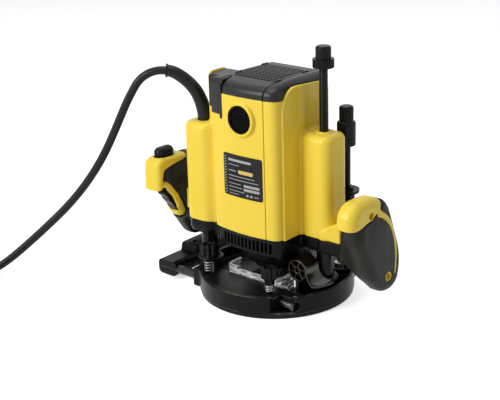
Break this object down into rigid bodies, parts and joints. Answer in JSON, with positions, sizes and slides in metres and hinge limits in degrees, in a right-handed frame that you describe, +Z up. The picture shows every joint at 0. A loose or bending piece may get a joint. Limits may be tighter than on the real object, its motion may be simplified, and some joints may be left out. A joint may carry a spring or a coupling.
{
  "type": "plunge router",
  "caption": "Upright plunge router with a round base, sprung columns, raked side handles with a trigger, a depth stop, an edge guide and a mains cord.",
  "frame": {"origin": "middle of the cutter opening on the underside of the sole plate", "axes": "+Z up along the spindle, +X towards the right handle, -Y towards the front face with the plate"},
  "size_m": [0.4898, 0.4518, 0.277],
  "materials": {
    "yellow_shell": "satin moulded yellow plastic",
    "black_plastic": "satin black moulded plastic",
    "black_casting": "black painted casting",
    "black_steel": "blackened steel",
    "steel": "ground steel",
    "brass": "turned brass",
    "grip_rubber": "black grip rubber with a fine dot texture",
    "cord_rubber": "black cord rubber",
    "clear_plastic": "clear moulded plastic"
  },
  "bodies": {
    "base": {"sole_plate": "black_plastic", "sole_screws": "steel", "base": "black_casting", "left_column": "black_steel", "right_column": "black_steel", "plunge_springs": "steel", "height_rod": "black_steel", "thumb_screw_springs": "steel", "chip_deflector": "clear_plastic", "dust_chute": "black_plastic", "turret_pivot": "steel", "cord_coil": "cord_rubber", "cord_tie": "cord_rubber", "plug": "black_plastic"},
    "motor": {"motor_housing": "yellow_shell", "top_cap": "black_plastic", "switch_box_cover": "black_plastic", "brush_caps": "black_plastic", "brush_holders": "brass", "carbon_brushes": "grip_rubber", "motor_bracket": "black_casting", "bearing_neck": "black_casting", "bracket_screws": "steel", "column_bushes": "brass", "stator": "steel", "lower_bearing": "steel", "upper_bearing": "steel", "left_handle": "yellow_shell", "left_grip": "grip_rubber", "right_handle": "yellow_shell", "right_grip": "grip_rubber", "handle_screws": "steel", "depth_holder": "black_plastic", "cord_guard": "cord_rubber", "cord": "cord_rubber"},
    "spindle": {"spindle": "steel", "armature": "steel", "commutator": "brass", "fan": "black_plastic", "collet": "steel", "collet_nut": "steel"},
    "height_knob": {"height_knob": "black_plastic"},
    "front_left_screw": {"thumb_screw_front_left": "black_plastic"},
    "front_right_screw": {"thumb_screw_front_right": "black_plastic"},
    "rear_left_screw": {"thumb_screw_rear_left": "black_plastic"},
    "rear_right_screw": {"thumb_screw_rear_right": "black_plastic"},
    "turret": {"depth_turret": "black_plastic", "turret_screws": "steel"},
    "edge_guide": {"guide_rods": "black_steel", "guide_bar": "black_casting"},
    "trigger": {"trigger": "black_plastic"},
    "lock_button": {"lock_button": "black_plastic"},
    "plunge_lever": {"plunge_lever": "black_plastic"},
    "depth_rod": {"depth_rod": "black_steel", "depth_barrel": "black_plastic"},
    "depth_knob": {"depth_knob": "black_plastic"},
    "lock_wheel": {"depth_lock_wheel": "black_plastic"}
  },
  "joints": [
    {"name": "plunge", "type": "slide", "parent": "base", "child": "motor", "axis": [0, 0, 1], "range_m": [0, 0.06], "deforming": ["plunge_springs"]},
    {"name": "spindle_spin", "type": "hinge", "parent": "motor", "child": "spindle", "pos_m": [0, 0, 0.1], "axis": [0, 0, 1], "continuous": true},
    {"name": "height_knob_turn", "type": "hinge", "parent": "base", "child": "height_knob", "pos_m": [0.064, 0.003, 0.26], "axis": [0, 0, 1], "continuous": true},
    {"name": "front_left_screw_turn", "type": "hinge", "parent": "base", "child": "front_left_screw", "pos_m": [-0.05324, -0.052, 0.04], "axis": [0, 0, 1], "continuous": true},
    {"name": "front_right_screw_turn", "type": "hinge", "parent": "base", "child": "front_right_screw", "pos_m": [0.03324, -0.052, 0.04], "axis": [0, 0, 1], "continuous": true},
    {"name": "rear_left_screw_turn", "type": "hinge", "parent": "base", "child": "rear_left_screw", "pos_m": [-0.05324, 0.052, 0.04], "axis": [0, 0, 1], "continuous": true},
    {"name": "rear_right_screw_turn", "type": "hinge", "parent": "base", "child": "rear_right_screw", "pos_m": [0.02024, 0.052, 0.04], "axis": [0, 0, 1], "continuous": true},
    {"name": "turret_turn", "type": "hinge", "parent": "base", "child": "turret", "pos_m": [0.057, 0.0375, 0.025], "axis": [0, 0, 1], "continuous": true},
    {"name": "guide_slide", "type": "slide", "parent": "base", "child": "edge_guide", "axis": [-1, 0, 0], "range_m": [0, 0.06]},
    {"name": "trigger_pull", "type": "slide", "parent": "motor", "child": "trigger", "axis": [0, 1, 0], "range_m": [0, 0.006], "stiffness_N_per_m": 600, "springref_m": -0.005},
    {"name": "lock_button_press", "type": "slide", "parent": "motor", "child": "lock_button", "axis": [0, 0, -1], "range_m": [0, 0.004], "stiffness_N_per_m": 600, "springref_m": -0.005},
    {"name": "plunge_lever_turn", "type": "hinge", "parent": "motor", "child": "plunge_lever", "pos_m": [-0.07, -0.0085, 0.118], "axis": [0, -1, 0], "range_deg": [0, 40]},
    {"name": "depth_rod_slide", "type": "slide", "parent": "motor", "child": "depth_rod", "axis": [0, 0, 1], "range_m": [0, 0.05]},
    {"name": "depth_knob_turn", "type": "hinge", "parent": "depth_rod", "child": "depth_knob", "pos_m": [0.067, 0.0375, 0.2], "axis": [0, 0, 1], "continuous": true},
    {"name": "lock_wheel_turn", "type": "hinge", "parent": "motor", "child": "lock_wheel", "pos_m": [0.067, 0.0375, 0.115], "axis": [0, 0, 1], "continuous": true}
  ]
}
